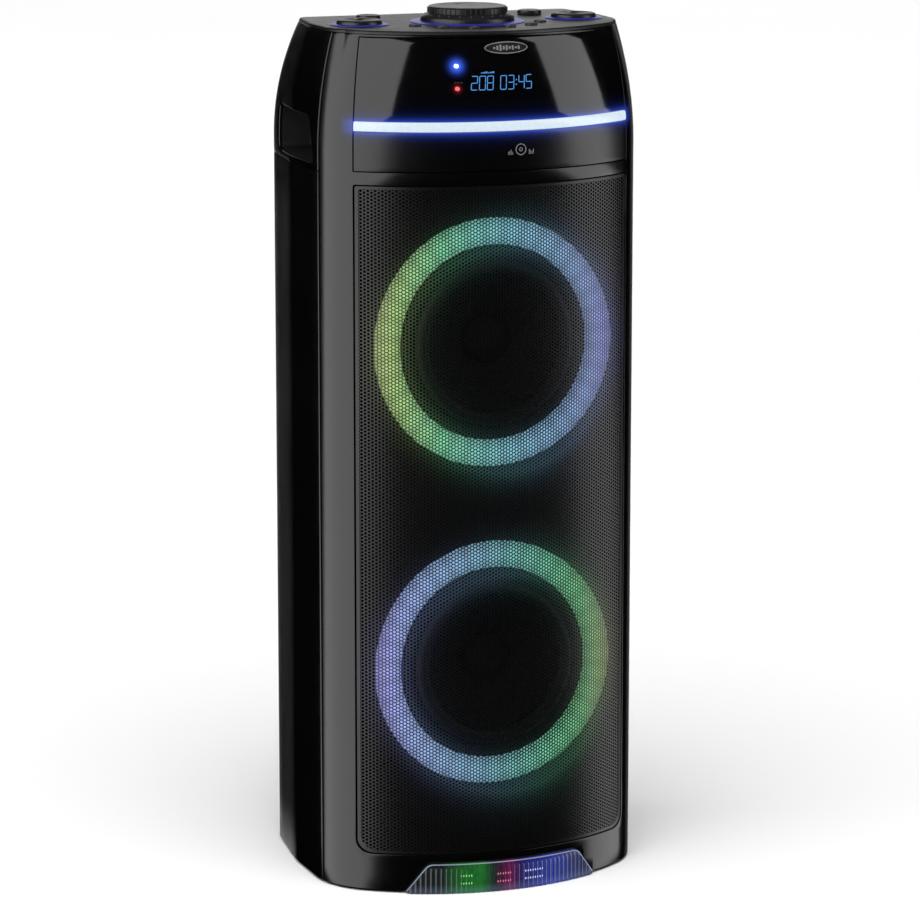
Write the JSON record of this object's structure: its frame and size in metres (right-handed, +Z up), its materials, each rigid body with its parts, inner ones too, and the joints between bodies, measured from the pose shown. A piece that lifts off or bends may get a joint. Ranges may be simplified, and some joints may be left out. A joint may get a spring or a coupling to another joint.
{
  "type": "party speaker",
  "caption": "Free-standing tower party speaker with a curved perforated grille, light rings, a disc drawer, a display and a control deck with jog pads.",
  "frame": {"origin": "on the floor, at the middle of the bounding box's base", "axes": "+Z up, the front faces -Y, +X to the right of someone facing the front"},
  "size_m": [0.375, 0.297, 0.971],
  "materials": {
    "gloss_black": "polished piano black",
    "cabinet_black": "semi-gloss fine grain",
    "satin_black": "satin, fine moulded grain",
    "knob_black": "soft satin",
    "button_black": "satin",
    "rocker_black": "satin",
    "grille_steel": "black powder coat, perforated",
    "ring_diffuser": "milky diffuser, lit in changing colours",
    "bar_diffuser": "milky diffuser, lit cold white",
    "clear_lens": "clear, ribbed, lit from behind",
    "lamp_blue": "clear, lit",
    "lamp_red": "clear, lit",
    "halo_blue": "milky diffuser, lit blue",
    "badge_silver": "satin print",
    "circuit_board": "solder mask",
    "module_case": "plain sheet case",
    "baffle_wood": "fibreboard",
    "zinc_steel": "pressed, zinc plated",
    "magnet_iron": "ferrite and steel",
    "surround_rubber": "soft matt",
    "cone_paper": "coated paper",
    "foot_rubber": "matt",
    "jack_metal": "nickel plated"
  },
  "bodies": {
    "cabinet": {"front_fascia": "gloss_black", "display_panel": "gloss_black", "cabinet_body": "cabinet_black", "upper_housing": "cabinet_black", "base_plate": "satin_black", "control_deck": "satin_black", "handle_cup_left": "satin_black", "handle_cup_right": "satin_black", "connection_plate": "satin_black", "power_inlet": "satin_black", "bass_port_tube": "satin_black", "front_grille": "grille_steel", "light_ring_upper": "ring_diffuser", "light_ring_lower": "ring_diffuser", "light_bar": "bar_diffuser", "floor_lens": "clear_lens", "link_lamp": "lamp_blue", "standby_lamp": "lamp_red", "volume_halo": "halo_blue", "pad_halo_left": "halo_blue", "pad_halo_right": "halo_blue", "badge_plate": "badge_silver", "display_module": "circuit_board", "control_board": "circuit_board", "amplifier_board": "circuit_board", "lens_light_strip": "circuit_board", "power_supply": "module_case", "baffle_board": "baffle_wood", "cd_chassis": "zinc_steel", "foot_front_left": "foot_rubber", "foot_front_right": "foot_rubber", "foot_rear_left": "foot_rubber", "foot_rear_right": "foot_rubber", "mic_jack_left": "jack_metal", "mic_jack_right": "jack_metal", "aux_jack": "jack_metal", "woofer_basket_upper": "zinc_steel", "woofer_magnet_upper": "magnet_iron", "woofer_surround_upper": "surround_rubber", "woofer_basket_lower": "zinc_steel", "woofer_magnet_lower": "magnet_iron", "woofer_surround_lower": "surround_rubber"},
    "drawer": {"drawer_front": "gloss_black", "disc_tray": "satin_black"},
    "volume_knob": {"volume_knob": "knob_black"},
    "jog_pad_left": {"jog_pad_left": "knob_black"},
    "jog_pad_right": {"jog_pad_right": "knob_black"},
    "mic_knob": {"mic_knob": "knob_black"},
    "echo_knob": {"echo_knob": "knob_black"},
    "power_rocker": {"power_rocker": "rocker_black"},
    "cone_upper": {"woofer_cone_upper": "cone_paper", "dust_cap_upper": "cone_paper"},
    "cone_lower": {"woofer_cone_lower": "cone_paper", "dust_cap_lower": "cone_paper"},
    "power_button": {"power_button": "button_black"},
    "mode_button": {"mode_button": "button_black"},
    "skip_back_button": {"skip_back_button": "button_black"},
    "skip_forward_button": {"skip_forward_button": "button_black"},
    "play_button": {"play_button": "button_black"},
    "lights_button": {"lights_button": "button_black"}
  },
  "joints": [
    {"name": "drawer_slide", "type": "slide", "parent": "cabinet", "child": "drawer", "axis": [0, -1, 0], "range_m": [0, 0.125]},
    {"name": "volume_turn", "type": "hinge", "parent": "cabinet", "child": "volume_knob", "pos_m": [0, -0.015, 0.9533], "axis": [0, 0, -1], "continuous": true},
    {"name": "jog_left_turn", "type": "hinge", "parent": "cabinet", "child": "jog_pad_left", "pos_m": [-0.125, -0.015, 0.9533], "axis": [0, 0, -1], "continuous": true},
    {"name": "jog_right_turn", "type": "hinge", "parent": "cabinet", "child": "jog_pad_right", "pos_m": [0.125, -0.015, 0.9533], "axis": [0, 0, -1], "continuous": true},
    {"name": "mic_turn", "type": "hinge", "parent": "cabinet", "child": "mic_knob", "pos_m": [-0.095, 0.043, 0.9533], "axis": [0, 0, -1], "range_deg": [-140, 140]},
    {"name": "echo_turn", "type": "hinge", "parent": "cabinet", "child": "echo_knob", "pos_m": [0.095, 0.043, 0.9533], "axis": [0, 0, -1], "range_deg": [-140, 140]},
    {"name": "rocker_tilt", "type": "hinge", "parent": "cabinet", "child": "power_rocker", "pos_m": [0.035, 0.1438, 0.605], "axis": [1, 0, 0], "range_deg": [-8, 8]},
    {"name": "cone_upper_travel", "type": "slide", "parent": "cabinet", "child": "cone_upper", "axis": [0, -1, 0], "range_m": [-0.004, 0.004], "stiffness_N_per_m": 2000},
    {"name": "cone_lower_travel", "type": "slide", "parent": "cabinet", "child": "cone_lower", "axis": [0, -1, 0], "range_m": [-0.004, 0.004], "stiffness_N_per_m": 2000},
    {"name": "power_press", "type": "slide", "parent": "cabinet", "child": "power_button", "axis": [0, 0, -1], "range_m": [0, 0.0012], "stiffness_N_per_m": 400, "springref_m": -0.0005},
    {"name": "mode_press", "type": "slide", "parent": "cabinet", "child": "mode_button", "axis": [0, 0, -1], "range_m": [0, 0.0012], "stiffness_N_per_m": 400, "springref_m": -0.0005},
    {"name": "skip_back_press", "type": "slide", "parent": "cabinet", "child": "skip_back_button", "axis": [0, 0, -1], "range_m": [0, 0.0012], "stiffness_N_per_m": 400, "springref_m": -0.0005},
    {"name": "skip_forward_press", "type": "slide", "parent": "cabinet", "child": "skip_forward_button", "axis": [0, 0, -1], "range_m": [0, 0.0012], "stiffness_N_per_m": 400, "springref_m": -0.0005},
    {"name": "play_press", "type": "slide", "parent": "cabinet", "child": "play_button", "axis": [0, 0, -1], "range_m": [0, 0.0012], "stiffness_N_per_m": 400, "springref_m": -0.0005},
    {"name": "lights_press", "type": "slide", "parent": "cabinet", "child": "lights_button", "axis": [0, 0, -1], "range_m": [0, 0.0012], "stiffness_N_per_m": 400, "springref_m": -0.0005}
  ]
}
